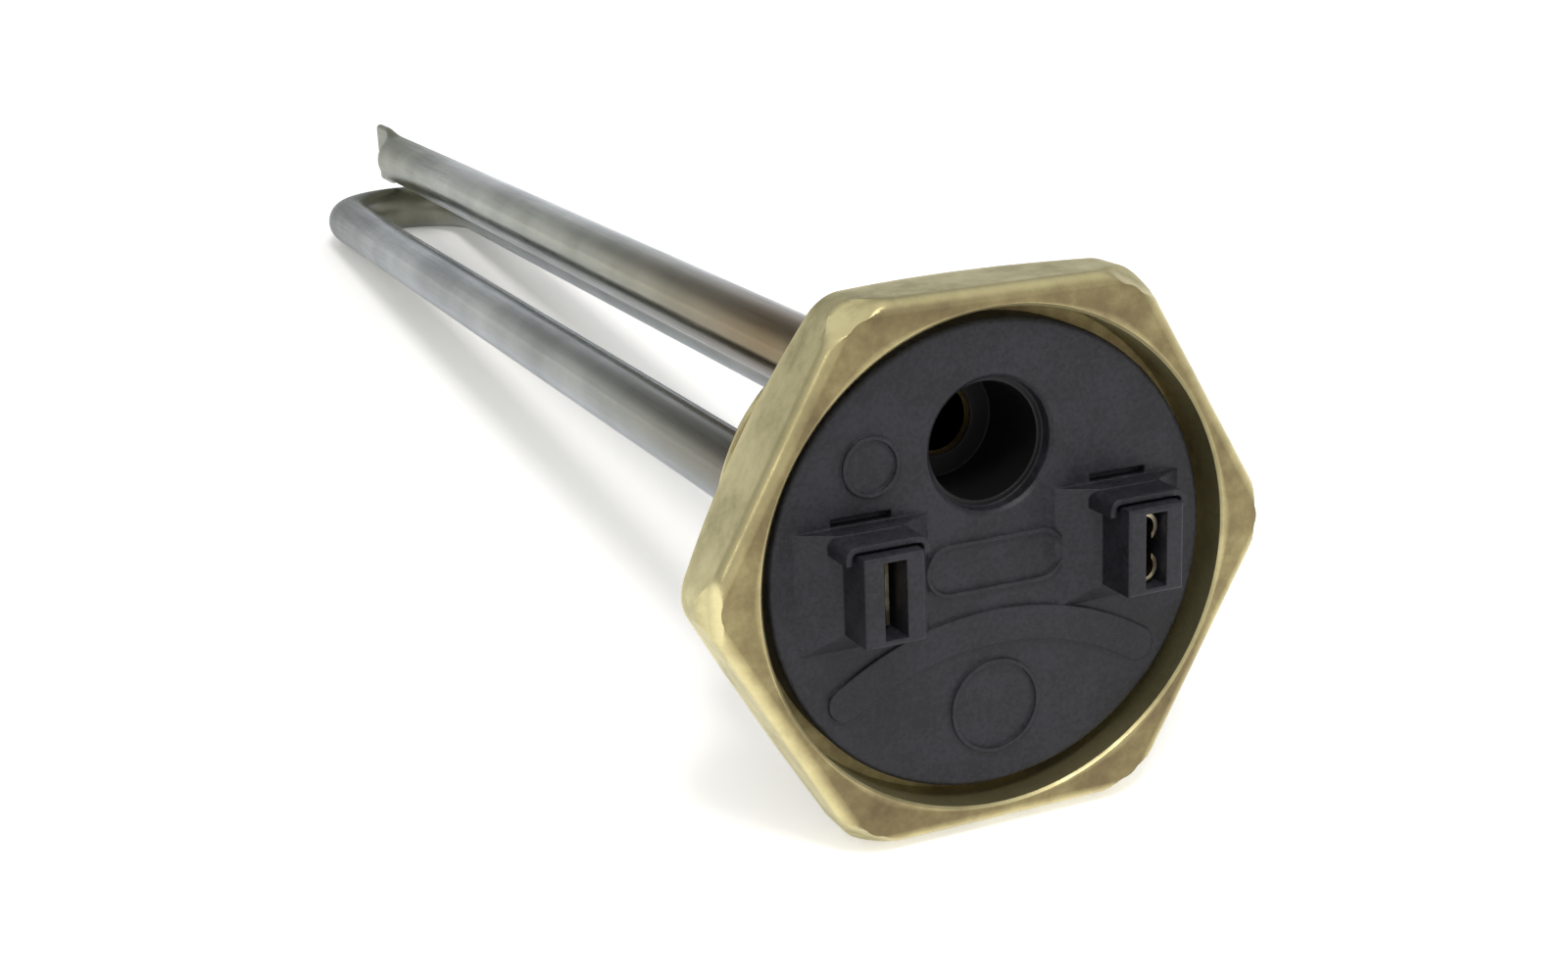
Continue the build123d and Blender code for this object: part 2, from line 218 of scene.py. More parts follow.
# %% The light
roof_towards = (-0.10, -0.42, 0.90)
sweep_towards = (-0.15, *floor_normal[1:])
sweep_top, sweep_end = 0.15, 0.37

scene = bpy.context.scene
scene.view_settings.view_transform = "Standard"
world = bpy.data.worlds.new("white_tent")
world.use_nodes = True
scene.world = world
tree = world.node_tree
tree.nodes.clear()
direction = add(tree, "ShaderNodeTexCoord").outputs["Generated"]
roof_side = add(tree, "ShaderNodeVectorMath", {0: direction, 1: roof_towards}, operation="DOT_PRODUCT")
roof = add(tree, "ShaderNodeMapRange", {"Value": roof_side.outputs["Value"], "From Min": -0.15,
                                        "From Max": 1.0, "To Min": 0.06, "To Max": 1.0})
tent_light = add(tree, "ShaderNodeBackground", {"Color": linear("#FBFBFA"), "Strength": roof.outputs[0]})
plain_white = add(tree, "ShaderNodeBackground", {"Color": linear("#FFFFFF"), "Strength": 1.0})
height = add(tree, "ShaderNodeVectorMath", {0: direction, 1: sweep_towards}, operation="DOT_PRODUCT")
sweep = add(tree, "ShaderNodeMapRange", {"Value": height.outputs["Value"], "From Min": sweep_top,
                                         "From Max": sweep_end, "To Min": 1.0, "To Max": 0.0},
            interpolation_type="SMOOTHSTEP")
light_path = add(tree, "ShaderNodeLightPath")
in_metal = add(tree, "ShaderNodeMath", {0: light_path.outputs["Is Glossy Ray"], 1: sweep.outputs[0]},
               operation="MULTIPLY")
camera_or_glass = add(tree, "ShaderNodeMath", {0: light_path.outputs["Is Camera Ray"],
                                               1: light_path.outputs["Is Transmission Ray"]},
                      operation="MAXIMUM")
shown = add(tree, "ShaderNodeMath", {0: camera_or_glass.outputs[0], 1: in_metal.outputs[0]},
            operation="MAXIMUM")
mixed = add(tree, "ShaderNodeMixShader", {0: shown.outputs[0], 1: tent_light.outputs[0],
                                          2: plain_white.outputs[0]})
add(tree, "ShaderNodeOutputWorld", {"Surface": mixed.outputs[0]})


def soft_lamp(name, place, target, width, watts, colour):
    """A square soft box at a place, turned to its target."""
    lamp = bpy.data.lights.new(name, "AREA")
    lamp.size = width
    lamp.energy = watts
    lamp.color = linear(colour)[:3]
    holder = bpy.data.objects.new(name, lamp)
    holder.location = place
    holder.rotation_euler = (Vector(target) - Vector(place)).to_track_quat("-Z", "Y").to_euler()
    bpy.context.scene.collection.objects.link(holder)
    return holder


middle = Vector((0, 0.09, 0))
key_place = middle + 0.8 * Vector((-0.10, -0.58, 0.81))
key_lamp = soft_lamp("overhead_soft_box", key_place, middle, 0.20, 2.4, "#FFFCF6")
left_place = Vector((-0.48, -0.30, 0.24))
left_lamp = soft_lamp("left_soft_box", left_place, Vector((0, 0, 0)), 0.12, 0.075, "#FFF8EA")
print("lamps:", key_lamp.name, left_lamp.name)

# %% [markdown]
# A surface is a grid of points, one row for each place along a profile or path and one column for each
# angle round it. The same grid gives the faces: each is four neighbours, and a closed direction joins
# its last line to its first. Grids that share an edge are merged there, and the closed shell's faces
# are then turned outwards.

# %% Helpers for surfaces
merge_distance = 0.0005 * MM


def grid_faces(rows, columns, close_rows=False, close_columns=True):
    """Corner numbers of the quads of a rows by columns grid: (i, j), (i, j+1), (i+1, j+1), (i+1, j)."""
    i = np.arange(rows if close_rows else rows - 1)[:, None]
    j = np.arange(columns if close_columns else columns - 1)[None, :]
    next_i, next_j = (i + 1) % rows, (j + 1) % columns
    quads = np.stack([i * columns + j, i * columns + next_j, next_i * columns + next_j,
                      next_i * columns + j], axis=-1)
    return quads.reshape(-1, 4)


def make_piece(name, patches, material, replaced, sharp_angle=32):
    """One piece from patches of (points, faces, marks): marks is a dict of values for each point, kept
    as attributes. Doubles are merged, faces turned outwards and folds over sharp_angle kept sharp."""
    grids = [patch[0].reshape(-1, 3) for patch in patches]
    points = np.concatenate(grids)
    starts = np.cumsum([0] + [len(grid) for grid in grids])
    faces = [face for patch, start in zip(patches, starts)
             for face in (np.asarray(patch[1]) + start).tolist()]
    mesh = bpy.data.meshes.new(name)
    mesh.from_pydata(points, [], faces)
    for mark in patches[0][2]:
        values = np.concatenate([patch[2][mark].reshape(len(grid), -1)
                                 for patch, grid in zip(patches, grids)])
        kind, field = ("FLOAT_VECTOR", "vector") if values.shape[1] == 3 else ("FLOAT", "value")
        mesh.attributes.new(mark, kind, "POINT").data.foreach_set(field, values.astype(np.float32).ravel())
    shell = bmesh.new()
    shell.from_mesh(mesh)
    bmesh.ops.remove_doubles(shell, verts=shell.verts, dist=merge_distance)
    bmesh.ops.recalc_face_normals(shell, faces=shell.faces)
    open_edges = sum(1 for edge in shell.edges if not edge.is_manifold)
    shell.to_mesh(mesh)
    shell.free()
    mesh.polygons.foreach_set("use_smooth", np.ones(len(mesh.polygons), bool))
    mesh.set_sharp_from_angle(angle=radians(sharp_angle))
    mesh.materials.append(material)
    piece = bpy.data.objects.new(name, mesh)
    bpy.context.scene.collection.objects.link(piece)
    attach(piece, "root")
    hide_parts(replaced)
    print(f"{name}: {len(mesh.polygons)} faces, {open_edges} open edges")


def dress(nodes, material):
    """Gives solids of the frame that keep their own mesh their finish."""
    for node in nodes:
        for slot in frame["nodes"][node].material_slots:
            slot.material = material
    print(material.name, "on", ", ".join(nodes))


# %% [markdown]
# The plug is free-cutting brass bar, faced and threaded on a lathe and then pickled, which leaves a dull
# olive gold with pink-brown stains. Drawn flats look yellower than the turned face, and the turned face
# is also given a darker colour, which is painted shade. Handling has worn the edges smoother, and their
# paler colour is partly that wear and partly a painted highlight. The stain is a noise about 6 mm
# across, the pickled grain one of 0.25 mm, and the tool marks are rings 0.16 mm apart, drawn from the
# distance to the axis. Edges come from a mark that the mesh carries.

# %% Brass of the plug
stain_size = 6 * MM
pickled_grain = 0.25 * MM
ring_spacing = 0.16 * MM
tool_relief = 0.02 * MM

brass, tree, shader = start_material("pickled_free_cutting_brass")
spot = add(tree, "ShaderNodeTexCoord")
place = spot.outputs["Object"]
stain = add(tree, "ShaderNodeTexNoise", {"Vector": place, "Scale": 1 / stain_size, "Detail": 6,
                                         "Roughness": 0.68})
grain = add(tree, "ShaderNodeTexNoise", {"Vector": place, "Scale": 1 / pickled_grain, "Detail": 3})
flats_colour = add(tree, "ShaderNodeValToRGB", {"Fac": stain.outputs["Fac"]},
                   stops=((0.32, "#A19A74"), (0.70, "#CFC89B"), (0.50, "#BFB78D")))
# The turned face's colours are browner from the finish and darker as painted shade, by the way the face is
# turned.
faced_colour = add(tree, "ShaderNodeValToRGB", {"Fac": stain.outputs["Fac"]},
                   stops=((0.32, "#70634A"), (0.70, "#998E68"), (0.50, "#827655")))
normal_parts = add(tree, "ShaderNodeSeparateXYZ", {0: spot.outputs["Normal"]})
faced = add(tree, "ShaderNodeMapRange", {"Value": normal_parts.outputs["Y"], "From Min": -0.55,
                                         "From Max": -0.95, "To Min": 0.0, "To Max": 1.0})
skin_colour = add(tree, "ShaderNodeMix", {0: faced.outputs[0], 6: flats_colour.outputs[0],
                                          7: faced_colour.outputs[0]}, data_type="RGBA")
edge_mark = add(tree, "ShaderNodeAttribute", attribute_name="edge")
# Paler colour along the edges: partly wear, partly a painted highlight on the rounded edges.
worn_edge = add(tree, "ShaderNodeMath", {0: edge_mark.outputs["Fac"], 1: stain.outputs["Fac"]},
                operation="MULTIPLY")
brass_colour = add(tree, "ShaderNodeMix", {0: worn_edge.outputs[0], 6: skin_colour.outputs[2],
                                           7: linear("#D8CB98")}, data_type="RGBA")
across_axis = add(tree, "ShaderNodeVectorMath", {0: place, 1: (1, 0, 1)}, operation="MULTIPLY")
from_axis = add(tree, "ShaderNodeVectorMath", {0: across_axis.outputs[0]}, operation="LENGTH")
rings = add(tree, "ShaderNodeTexNoise", {"W": from_axis.outputs["Value"], "Scale": 1 / ring_spacing,
                                         "Detail": 1}, noise_dimensions="1D")
squareness = add(tree, "ShaderNodeMath", {0: normal_parts.outputs["Y"]}, operation="ABSOLUTE")
turned_share = add(tree, "ShaderNodeMapRange", {"Value": squareness.outputs[0], "From Min": 0.9,
                                                "From Max": 1.0, "To Min": 0.0, "To Max": 1.0})
ring_height = add(tree, "ShaderNodeMath", {0: rings.outputs["Fac"], 1: turned_share.outputs[0]},
                  operation="MULTIPLY")
ring_bump = add(tree, "ShaderNodeBump", {"Height": ring_height.outputs[0], "Strength": 0.25,
                                         "Distance": tool_relief})
grain_bump = add(tree, "ShaderNodeBump", {"Height": grain.outputs["Fac"], "Strength": 0.5,
                                          "Distance": tool_relief, "Normal": ring_bump.outputs[0]})
dullness = add(tree, "ShaderNodeMapRange", {"Value": stain.outputs["Fac"], "From Min": 0.3,
                                            "From Max": 0.7, "To Min": 0.56, "To Max": 0.42})
tree.links.new(brass_colour.outputs[2], shader.inputs["Base Color"])
polish = add(tree, "ShaderNodeMath", {0: edge_mark.outputs["Fac"], 1: -0.20, 2: dullness.outputs[0]},
             operation="MULTIPLY_ADD")
tree.links.new(polish.outputs[0], shader.inputs["Roughness"])
tree.links.new(grain_bump.outputs[0], shader.inputs["Normal"])
shader.inputs["Metallic"].default_value = 1.0
print("brass nodes:", len(tree.nodes))

# %% [markdown]
# The hexagon's outline is a distance from the axis for each angle. Its columns crowd at the corners,
# where the outline is round, and each front row is the same outline set inwards, so the edge's rounding
# runs smoothly round the corners.

# %% The hexagon's outline
corner_round = 4.0 * MM
sector = radians(60)
corner_distance = (flat_half - corner_round) / cos(sector / 2)
flat_limit = atan((flat_half - corner_round) * tan(sector / 2) / flat_half)
flat_columns, corner_columns = 38, 12

sector_angles = np.concatenate([
    np.linspace(-flat_limit, flat_limit, flat_columns, endpoint=False),
    np.linspace(flat_limit, sector - flat_limit, corner_columns, endpoint=False),
])
angles = (sector / 2 + sector * np.arange(6)[:, None] + sector_angles[None, :]).ravel()


def hexagon_radius(angle, inset):
    """Distance from the axis to a hexagon with round corners, set inwards by inset. With a the angle
    from the nearest flat's middle, the flat gives apothem / cos(a). Past the flat, with b = 30 degrees
    less a, the ray meets the corner's circle at d cos(b) + sqrt(c c - (d sin(b)) squared), where c is
    the circle's radius and d its centre's distance."""
    from_flat = np.abs(angle % sector - sector / 2)
    apothem = flat_half - inset
    circle = corner_round - inset
    from_corner = sector / 2 - from_flat
    on_flat = apothem / np.cos(from_flat)
    root = np.sqrt(np.maximum(circle**2 - (corner_distance * np.sin(from_corner)) ** 2, 0))
    on_corner = corner_distance * np.cos(from_corner) + root
    tangent = np.arctan((flat_half - corner_round) * np.tan(sector / 2) / apothem)
    return np.where(from_flat <= tangent, on_flat, on_corner)


print("columns round the plug:", len(angles))

# %% [markdown]
# The thread is an 11-to-the-inch parallel pipe thread: straight 27.5 degree flanks between a round crest
# and a round root. The radius at a place depends on the phase y / pitch less angle / 360 degrees, so
# the ridge climbs one pitch a turn, right-handed. It starts past a relief groove and is cut off by the
# chamfer at the end.

# %% The thread
thread_pitch = 25.4 / 11 * MM
thread_depth = 0.640327 * thread_pitch
relief_width = 1.1 * MM
spigot_chamfer = 1.3 * MM
crest_softness = 0.35
thread_rows = 140


def thread_form(angle, y):
    """Radius of the threaded spigot. A triangle wave of the phase, stretched by 1.5 and cut to 0..1,
    gives flanks two thirds as high as the sharp form. A share of 3 w w - 2 w w w rounds both ends."""
    phase = (y / thread_pitch - angle / (2 * pi)) % 1
    wave = np.abs(2 * phase - 1)
    cut = np.clip(1.5 * wave - 0.25, 0, 1)
    rounded = cut * cut * (3 - 2 * cut)
    groove = cut + crest_softness * (rounded - cut)
    groove = np.where(y < relief_width, 1, groove)
    chamfered = thread_radius - spigot_chamfer + (spigot_end_y - y)
    return np.minimum(thread_radius - thread_depth * groove, chamfered)


print(f"pitch {thread_pitch / MM:.3f} mm, depth {thread_depth / MM:.3f} mm")

# %% [markdown]
# The whole plug apart from its base is one grid: a profile that starts inside the cavity, goes out over
# the recess floor, up its wall, over the front face and the hexagon, round the rear chamfer and along
# the thread. A steep cone takes the corners off in front, and a flat one behind. Where a cone meets the
# hexagon, the depth depends on the angle, and a row follows that curve, so the fold stays crisp.

# %% The plug's profile
rim_width = 2.1 * MM
recess_radius = flat_half - rim_width
recess_floor_y = -3.5 * MM
mouth_chamfer = 0.25 * MM
front_round = 1.5 * MM
rear_chamfer_start = flat_half - 0.9 * MM
rear_chamfer_angle = radians(30)
front_cone_start = hexagon_radius(0.0, 0) - 1.7 * MM
front_cone_slope = tan(radians(60))
cavity_radius = 18.2 * MM
base_inner_y = spigot_end_y - 5 * MM
ones = np.ones(len(angles))


def profile_rows():
    """Rows of (radius, y, edge mark), each an array over the angles, in the order of the profile."""
    rows = []
    for y in np.linspace(base_inner_y, recess_floor_y, 6):
        rows.append((cavity_radius * ones, y * ones, 0 * ones))
    for radius in np.linspace(cavity_radius, recess_radius, 6)[1:]:
        rows.append((radius * ones, recess_floor_y * ones, 0 * ones))
    for y in np.linspace(recess_floor_y, face_y + mouth_chamfer, 7)[1:]:
        rows.append((recess_radius * ones, y * ones, 0 * ones))
    front_outline = hexagon_radius(angles, front_round)
    for share in np.linspace(0, 1, 6):
        radius = (1 - share) * (recess_radius + mouth_chamfer) + share * front_outline
        rows.append((radius, face_y * ones, (0.7 if share == 0 else 0.0) * ones))
    for turn in np.linspace(radians(90), 0, 11)[1:]:
        depth = front_round * (1 - sin(turn))
        outline = hexagon_radius(angles, front_round * (1 - cos(turn)))
        radius = np.minimum(outline, front_cone_start + depth / front_cone_slope)
        rows.append((radius, (face_y + depth) * ones, sin(2 * turn) * ones))
    outline = hexagon_radius(angles, 0)
    cone_depth = np.maximum((outline - front_cone_start) * front_cone_slope, front_round)
    for share in (0.35, 0.7, 1):
        depth = (1 - share) * front_round + share * cone_depth
        radius = np.minimum(outline, front_cone_start + depth / front_cone_slope)
        rows.append((radius, face_y + depth, 0.25 * ones))
    fold_y = -(outline - rear_chamfer_start) * tan(rear_chamfer_angle)
    for share in np.linspace(0, 1, 7)[1:]:
        y = (1 - share) * (face_y + cone_depth) + share * fold_y
        rows.append((outline, y, (0.8 if share == 1 else 0.0) * ones))
    for radius in np.linspace(rear_chamfer_start, thread_radius - thread_depth, 5):
        rows.append((radius * ones, 0 * ones, 0 * ones))
    for y in np.linspace(0, spigot_end_y, thread_rows)[1:]:
        radius = thread_form(angles, y)
        rows.append((radius, y * ones, 0.6 * (radius > thread_radius - 0.2 * thread_depth)))
    return rows


rows = profile_rows()
radius, y, edge = (np.array(values) for values in zip(*rows))
plug_points = np.stack([radius * np.cos(angles), y, radius * np.sin(angles)], axis=-1)
plug_patch = (plug_points, grid_faces(*radius.shape), {"edge": edge})
print("plug grid:", radius.shape)

# %% [markdown]
# The base is a round plate with three holes for the tubes. Each side is triangulated between its outer
# ring and the hole rings, the triangles over the holes are left out, and short walls join the two
# sides.

# %% The base with its holes
fit_gap = 0.05 * MM
hole_columns = 56
leg_hole = sheath_radius + fit_gap
pocket_hole = pocket_radius + fit_gap
holes = ((-leg_offset, leg_height, leg_hole), (leg_offset, leg_height, leg_hole),
         (0, pocket_height, pocket_hole))
hole_angles = np.linspace(0, 2 * pi, hole_columns, endpoint=False)


def hole_ring(x, z, radius, y):
    """Points round one hole: its centre plus radius times (cos, sin) of each angle, at the plate's y."""
    return np.stack([x + radius * np.cos(hole_angles), np.full(hole_columns, y),
                     z + radius * np.sin(hole_angles)], axis=-1)


def plate(outer_ring, y):
    """A flat side of the base: a constrained triangulation of the rings, less what lies in a hole."""
    rings = [outer_ring] + [hole_ring(*hole, y) for hole in holes]
    points = np.concatenate(rings)
    starts = np.cumsum([0] + [len(ring) for ring in rings])
    edges = [(start + k, start + (k + 1) % len(ring)) for ring, start in zip(rings, starts)
             for k in range(len(ring))]
    flat = [Vector((x, z)) for x, z in points[:, [0, 2]] / MM]
    faces = np.array(delaunay_2d_cdt(flat, edges, [], 0, 1e-7)[2])
    middles = points[faces].mean(axis=1)
    solid = np.ones(len(faces), bool)
    for x, z, radius in holes:
        solid &= np.hypot(middles[:, 0] - x, middles[:, 2] - z) > radius * cos(pi / hole_columns) * 0.999
    return points, faces[solid], {"edge": np.zeros(len(points))}


patches = [plug_patch, plate(plug_points[0], base_inner_y), plate(plug_points[-1], spigot_end_y)]
for hole in holes:
    wall = np.stack([hole_ring(*hole, base_inner_y), hole_ring(*hole, spigot_end_y)])
    patches.append((wall, grid_faces(2, hole_columns), {"edge": np.zeros(wall.shape[:2])}))
make_piece("plug_threaded", patches, brass, "head_plug")

# %% [markdown]
# Both tubes are drawn seamless tube, annealed dull grey. Their skin carries long faint drawing lines and
# a heat tint: the torch that brazed them into the head left straw and brown there, fading within a few
# centimetres. A pattern on the bent tube has to follow it, so the mesh carries a second position, that
# of the same point on the unbent tube, and the noises read that one. The far end was handled least and
# stayed duller.

# %% Metal of the tubes
drawing_lines = 0.45 * MM
line_stretch = 0.035
heat_clouds = 14 * MM
dull_from, dull_to = 170 * MM, 225 * MM


def tube_metal(name, base_hex, pale_hex, tint_hex, tint_length):
    """Dull drawn metal. The tint's share falls with the distance from the head as a smooth ramp."""
    metal, tree, shader = start_material(name)
    unbent = add(tree, "ShaderNodeAttribute", attribute_name="unbent")
    parts = add(tree, "ShaderNodeSeparateXYZ", {0: unbent.outputs["Vector"]})
    stretched = add(tree, "ShaderNodeMapping", {"Vector": unbent.outputs["Vector"],
                                                "Scale": (line_stretch, 1, 1)})
    lines = add(tree, "ShaderNodeTexNoise", {"Vector": stretched.outputs[0], "Scale": 1 / drawing_lines,
                                             "Detail": 4, "Roughness": 0.6})
    clouds = add(tree, "ShaderNodeTexNoise", {"Vector": unbent.outputs["Vector"], "Scale": 1 / heat_clouds,
                                              "Detail": 4})
    body = add(tree, "ShaderNodeValToRGB", {"Fac": clouds.outputs["Fac"]},
               stops=((0.34, base_hex), (0.68, pale_hex)))
    nearness = add(tree, "ShaderNodeMapRange", {"Value": parts.outputs["X"], "From Min": 12 * MM,
                                                "From Max": tint_length, "To Min": 0.85, "To Max": 0.0},
                   interpolation_type="SMOOTHSTEP")
    patchy = add(tree, "ShaderNodeMath", {0: clouds.outputs["Fac"], 1: 0.8}, operation="ADD")
    tint_share = add(tree, "ShaderNodeMath", {0: nearness.outputs[0], 1: patchy.outputs[0]},
                     operation="MULTIPLY", use_clamp=True)
    tinted = add(tree, "ShaderNodeMix", {0: tint_share.outputs[0], 6: body.outputs[0],
                                         7: linear(tint_hex)}, data_type="RGBA")
    drawn = add(tree, "ShaderNodeMapRange", {"Value": lines.outputs["Fac"], "From Min": 0.3,
                                             "From Max": 0.7, "To Min": 0.14, "To Max": 0.26})
    far_end = add(tree, "ShaderNodeMapRange", {"Value": parts.outputs["X"], "From Min": dull_from,
                                               "From Max": dull_to, "To Min": 0.0, "To Max": 0.24})
    dullness = add(tree, "ShaderNodeMath", {0: drawn.outputs[0], 1: far_end.outputs[0]}, operation="ADD")
    bump = add(tree, "ShaderNodeBump", {"Height": lines.outputs["Fac"], "Strength": 0.35,
                                        "Distance": 0.02 * MM})
    tree.links.new(tinted.outputs[2], shader.inputs["Base Color"])
    tree.links.new(dullness.outputs[0], shader.inputs["Roughness"])
    tree.links.new(bump.outputs[0], shader.inputs["Normal"])
    shader.inputs["Metallic"].default_value = 1.0
    # The bluish tint of grazing reflections is a painted reflection: it gives the tubes' upper edges a
    # cool highlight.
    shader.inputs["Specular Tint"].default_value = linear("#E6EBF7")
    print(name, "nodes:", len(tree.nodes))
    return metal


sheath_metal = tube_metal("annealed_drawn_tube", "#838376", "#A1A195", "#777362", 80 * MM)
pocket_metal = tube_metal("annealed_pocket_tube", "#888772", "#A6A592", "#7E6C46", 120 * MM)

# %% [markdown]
# The hairpin's middle line needs one formula. With s the way along it, the bend's angle is
# (s - leg) / bend radius, held between 0 and half a turn. Then x is minus the radius times the cosine,
# and y is the leg so far, plus the radius times the sine, less what has gone back. The tube's wall is
# real: the grid goes out along the outer skin and back along the bore.

# %% The hairpin
tube_wall = 0.7 * MM
tube_columns = 72
around = np.linspace(0, 2 * pi, tube_columns, endpoint=False)
leg_length = bend_centre_y - sheath_low.y
bend_length = pi * leg_offset


def hairpin_frame(s):
    """Middle line and outward direction of the bent tube at each way s, by the formula above."""
    turn = np.clip((s - leg_length) / leg_offset, 0, pi)
    back = np.maximum(s - leg_length - bend_length, 0)
    y = sheath_low.y + np.minimum(s, leg_length) + leg_offset * np.sin(turn) - back
    middle_line = np.stack([-leg_offset * np.cos(turn), y, np.full_like(s, leg_height)], axis=-1)
    outward = np.stack([-np.cos(turn), np.sin(turn), np.zeros_like(s)], axis=-1)
    return middle_line, outward


ways = np.concatenate([np.linspace(0, leg_length, 30), leg_length + np.linspace(0, bend_length, 49)[1:],
                       leg_length + bend_length + np.linspace(0, leg_length, 30)[1:]])
there_and_back = np.concatenate([ways, ways[::-1]])
wall_radius = np.repeat([sheath_radius, sheath_radius - tube_wall], len(ways))[:, None]
middle_line, outward = hairpin_frame(there_and_back)
sideways = wall_radius * np.cos(around)
upwards_part = wall_radius * np.sin(around)
hairpin_points = (middle_line[:, None, :] + sideways[..., None] * outward[:, None, :]
                  + upwards_part[..., None] * np.array([0, 0, 1]))
from_head = np.minimum(there_and_back, 2 * leg_length + bend_length - there_and_back) + sheath_low.y
unbent = np.stack(np.broadcast_arrays(from_head[:, None], sideways, upwards_part), axis=-1)
hairpin_patch = (hairpin_points, grid_faces(len(there_and_back), tube_columns, True), {"unbent": unbent})
make_piece("hairpin_tube", [hairpin_patch], sheath_metal, "heating_sheath")

# %% [markdown]
# The pocket is a straight tube whose far end was pressed flat in a vice-like tool, so the flat is wider
# than the tube. Each point keeps its share of the girth and moves in a straight line from the circle to
# the slot: section = (1 - f) circle + f slot.

# %% The pocket
pocket_wall = 0.75 * MM
crimp_length = 6 * MM
crimp_taper = 8 * MM
crimp_thickness = 2 * pocket_wall + fit_gap
seam = 0.3 * MM
share = np.linspace(0, 1, tube_columns, endpoint=False)


def slot_section(width, thickness):
    """A slot of straight sides and round ends, at equal shares of its girth. The direction angle and
    the end centre's height each run straight between the corners of the outline."""
    end_radius = thickness / 2
    reach = width / 2 - end_radius
    girth = np.cumsum([0, reach, pi * end_radius, 2 * reach, pi * end_radius, reach])
    direction = np.interp(share, girth / girth[-1], [0, 0, pi, pi, 2 * pi, 2 * pi])
    centre = np.interp(share, girth / girth[-1], [0, reach, reach, -reach, -reach, 0])
    return np.stack([end_radius * np.cos(direction), centre + end_radius * np.sin(direction)], axis=-1)


def pocket_rows(y, radius, width, thickness, flatness):
    """Sections from a circle to a slot by their flatness, at each y."""
    circle = radius * np.stack([np.cos(2 * pi * share), np.sin(2 * pi * share)], axis=-1)
    slot = slot_section(width, thickness)
    section = (1 - flatness)[:, None, None] * circle + flatness[:, None, None] * slot
    return np.stack([section[..., 0], np.broadcast_to(y[:, None], section.shape[:2]),
                     pocket_height + section[..., 1]], axis=-1)


crimp_start_y = pocket_high.y - crimp_length
taper_start_y = crimp_start_y - crimp_taper
outer_y = np.concatenate([np.linspace(pocket_low.y, taper_start_y, 30),
                          np.linspace(taper_start_y, crimp_start_y, 25)[1:],
                          np.linspace(crimp_start_y, pocket_high.y, 6)[1:]])
inner_y = outer_y[outer_y <= crimp_start_y][::-1]


def flatness_at(y):
    """0 on the round tube, 1 on the flat, and 3 t t - 2 t t t between."""
    t = np.clip((y - taper_start_y) / crimp_taper, 0, 1)
    return t * t * (3 - 2 * t)


outer = pocket_rows(outer_y, pocket_radius, crimp_width, crimp_thickness, flatness_at(outer_y))
inner = pocket_rows(inner_y, pocket_radius - pocket_wall, crimp_width - 2 * pocket_wall, seam,
                    flatness_at(inner_y))
end_middle = np.array([0, pocket_high.y, pocket_height])
inner_middle = np.array([0, crimp_start_y, pocket_height])
end_cap = np.stack([end_middle + k * (outer[-1] - end_middle) for k in (0.97, 0.5, 0)])
inner_cap = np.stack([inner_middle + k * (inner[0] - inner_middle) for k in (0, 0.5)])
pocket_points = np.concatenate([inner_cap, inner, outer, end_cap])
unbent = pocket_points[..., [1, 0, 2]] - np.array([0, 0, pocket_height])
pocket_patch = (pocket_points, grid_faces(*pocket_points.shape[:2]), {"unbent": unbent})
make_piece("pocket_pressed", [pocket_patch], pocket_metal, "pocket_tube")

# %% [markdown]
# The cover is black glass-filled nylon, moulded: dark blue-grey under light, speckled by the glass
# fibres at its skin, with a fine matt grain and edges that the mould rounds slightly. The speckle is a
# noise of 0.45 mm, the grain one of 0.22 mm, and the rounding of 0.3 mm is a bevel of the shading alone.
# Inside the stem's bore the colour goes near black, which is painted shade of the deep hole: it is
# found by its distance from the bore's axis.

# %% Moulding
flow_size = 4 * MM
fibre_speckle = 0.45 * MM
mould_grain = 0.22 * MM
bore_fade = 0.2 * MM
mould_round = 0.3 * MM

moulding, tree, shader = start_material("black_glass_filled_nylon")
place = add(tree, "ShaderNodeTexCoord").outputs["Object"]
flow = add(tree, "ShaderNodeTexNoise", {"Vector": place, "Scale": 1 / flow_size, "Detail": 4})
speckle = add(tree, "ShaderNodeTexNoise", {"Vector": place, "Scale": 1 / fibre_speckle, "Detail": 3})
grain = add(tree, "ShaderNodeTexNoise", {"Vector": place, "Scale": 1 / mould_grain, "Detail": 2})
mottle = add(tree, "ShaderNodeMix", {0: 0.5, 2: flow.outputs["Fac"], 3: speckle.outputs["Fac"]},
             data_type="FLOAT")
grey = add(tree, "ShaderNodeValToRGB", {"Fac": mottle.outputs[0]},
           stops=((0.40, "#1A1A1F"), (0.60, "#2E2E35")))
bore_axis = add(tree, "ShaderNodeVectorMath", {0: place, 1: (0, 0, pocket_height)}, operation="SUBTRACT")
bore_across = add(tree, "ShaderNodeVectorMath", {0: bore_axis.outputs[0], 1: (1, 0, 1)},
                  operation="MULTIPLY")
bore_distance = add(tree, "ShaderNodeVectorMath", {0: bore_across.outputs[0]}, operation="LENGTH")
